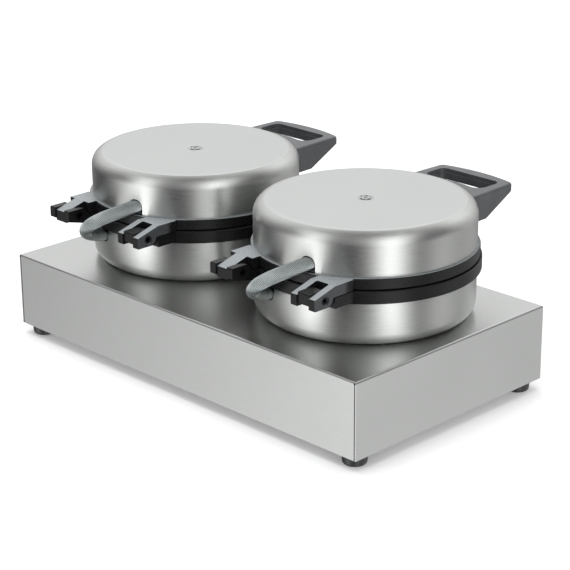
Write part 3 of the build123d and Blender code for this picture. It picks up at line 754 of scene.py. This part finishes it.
def notch_cutter(x, centre_z, rim_z, y):
    """A prism through the dish's wall: half round at centre_z and open past its rim."""
    half = NOTCH_HALF_W * MM
    side = 1 if centre_z > rim_z else -1
    angles = [math.pi * k / NOTCH_STEPS for k in range(NOTCH_STEPS + 1)]
    outline = [(half * math.cos(a), side * half * math.sin(a)) for a in angles]
    open_end = rim_z - centre_z - side * CUTTER_PAST_RIM * MM
    outline += [(-half, open_end), (half, open_end)]
    reach = CUTTER_REACH * MM
    form = bmesh.new()
    near = [form.verts.new((x + dx, y - reach, centre_z + dz)) for dx, dz in outline]
    far = [form.verts.new((x + dx, y + reach, centre_z + dz)) for dx, dz in outline]
    prism(form, near, far)
    bmesh.ops.recalc_face_normals(form, faces=form.faces)
    return object_from(form, "cutter", [])


def make_shell(side, half, body, wall, crown):
    node = f"{side}_{half}_shell"
    low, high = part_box(node)
    centre = iron_centre(side)
    radius = (high.x - low.x) / 2 / MM
    height = (high.z - low.z) / MM
    up = 1 if half == "upper" else -1
    rim_z = low.z if half == "upper" else high.z
    profile = shell_profile(radius, height, SCREW_HOLE_R[half])

    def place(around, z):
        return Vector((centre.x, centre.y, rim_z)) + around + Vector((0, 0, up * z))

    shell = object_from(lathe(profile, place), f"{side}_{half}_dish", [wall, crown])
    notch_x = centre.x - up * NOTCH_X * MM
    notch_z = rim_z + up * (NOTCH_DEPTH - NOTCH_HALF_W) * MM
    notch_y = centre.y + math.sqrt(radius**2 - NOTCH_X**2) * MM
    combine(shell, notch_cutter(notch_x, notch_z, rim_z, notch_y), "DIFFERENCE")
    for face in shell.data.polygons:
        face.use_smooth = True
        face.material_index = 1 if abs(face.normal.z) > FLAT_END else 0
    shell.data.set_sharp_from_angle(angle=math.radians(SHARP_ANGLE))
    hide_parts(node)
    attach(shell, body)


# --- waffle grids ---------------------------------------------------------------------------
GRID_R = 102.4
GRID_PITCH = 9.0
GRID_TURN = 45
RIB_FOOT = 1.5
RIB_HALF_W = 0.75
RIB_HEIGHT = 0.85
RIB_ROOT = 0.3
BAKING_FLOOR = 1.7


def rib_set(turn):
    """Parallel ribs across the grid's circle, standing on height 0, as one mesh of separate bars."""
    form = bmesh.new()
    turned = Matrix.Rotation(math.radians(turn), 4, "Z")
    section = [(-RIB_FOOT, -RIB_ROOT), (RIB_FOOT, -RIB_ROOT)]
    section += [(RIB_HALF_W, RIB_HEIGHT), (-RIB_HALF_W, RIB_HEIGHT)]
    count = int((GRID_R - RIB_FOOT - 1) / GRID_PITCH)
    for row in range(-count, count + 1):
        near, far = [], []
        for across, height in section:
            offset = row * GRID_PITCH + across
            reach = math.sqrt(GRID_R**2 - offset**2)
            near.append(form.verts.new(turned @ Vector((-reach, offset, height)) * MM))
            far.append(form.verts.new(turned @ Vector((reach, offset, height)) * MM))
        prism(form, near, far)
    bmesh.ops.recalc_face_normals(form, faces=form.faces)
    return object_from(form, "ribs", [])


def make_grids(material):
    """The ribs of all four baking faces: one lattice, laid in each recess and turned over for the lids."""
    lattice = rib_set(GRID_TURN)
    combine(lattice, rib_set(GRID_TURN + 90), "UNION")
    for side in SIDES:
        centre = iron_centre(side)
        centre.z = hinge_place(side).z
        for half, body, flip in (("lower", "base", 0), ("upper", f"{side}_lid", math.pi)):
            mesh = lattice.data.copy()
            drop = -BAKING_FLOOR if half == "lower" else BAKING_FLOOR
            place = Matrix.Translation(centre + Vector((0, 0, drop * MM)))
            mesh.transform(place @ Matrix.Rotation(flip, 4, "X"))
            mesh.materials.clear()
            mesh.materials.append(material)
            grid = bpy.data.objects.new(f"{side}_{half}_waffle_grid", mesh)
            bpy.context.scene.collection.objects.link(grid)
            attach(grid, body)
    bpy.data.objects.remove(lattice)


def hinge_place(side):
    """The lid's pin axis, which lies in the plane between the two halves."""
    joint = next(j for j in frame["joints"] if j["name"] == f"{side}_lid_hinge")
    return Vector(joint["pos_m"])


# --- dial marks -------------------------------------------------------------------------------
DIAL_MARKS = 10
DIAL_SWEEP = 270
DIAL_R = 22.5
MARK_LENGTH = 2.4
MARK_GROWTH = 0.25
MARK_HALF_W = 0.45
MARK_RAISE = 0.12


def make_dial(side, material):
    """Raised marks round the knob, longer towards the hot end, beginning at the top."""
    low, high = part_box(f"{side}_knob")
    centre = (low + high) / 2
    face = HOUSING_LOW.y
    form = bmesh.new()
    for mark in range(DIAL_MARKS):
        angle = math.radians(DIAL_SWEEP * mark / (DIAL_MARKS - 1))
        out = Vector((math.sin(angle), 0, math.cos(angle)))
        across = Vector((math.cos(angle), 0, -math.sin(angle)))
        length = MARK_LENGTH + MARK_GROWTH * mark
        corners = [(DIAL_R, -MARK_HALF_W), (DIAL_R, MARK_HALF_W)]
        corners += [(DIAL_R + length, MARK_HALF_W), (DIAL_R + length, -MARK_HALF_W)]
        rows = []
        for y in (face + MARK_RAISE * MM, face - MARK_RAISE * MM):
            level = Vector((centre.x, y, centre.z))
            rows.append([form.verts.new(level + (out * r + across * w) * MM) for r, w in corners])
        prism(form, *rows)
    bmesh.ops.recalc_face_normals(form, faces=form.faces)
    marks = object_from(form, f"{side}_dial_marks", [material])
    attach(marks, "base")


# --- making the scene -----------------------------------------------------------------------
make_camera()
make_studio()
paint_nodes()
SLEEVE = NODES["left_conduit"].data.materials[0]
# The liner's own dark colour, which also paints shade on the strands' flanks.
LINER_AND_FLANK_SHADE = rough_paint("sleeve_liner_and_flank_shade", (0.13, 0.14, 0.14), 0.6, 0.0, 900, 0.00005)
for side in SIDES:
    wall, crown = brushed_wall(side), brushed_crown(side)
    make_shell(side, "lower", "base", wall, crown)
    make_shell(side, "upper", f"{side}_lid", wall, crown)
    make_conduit(side, SLEEVE, LINER_AND_FLANK_SHADE)
    make_dial(side, NODES["terminal_block"].data.materials[0])
make_grids(NODES["left_lower_plate"].data.materials[0])
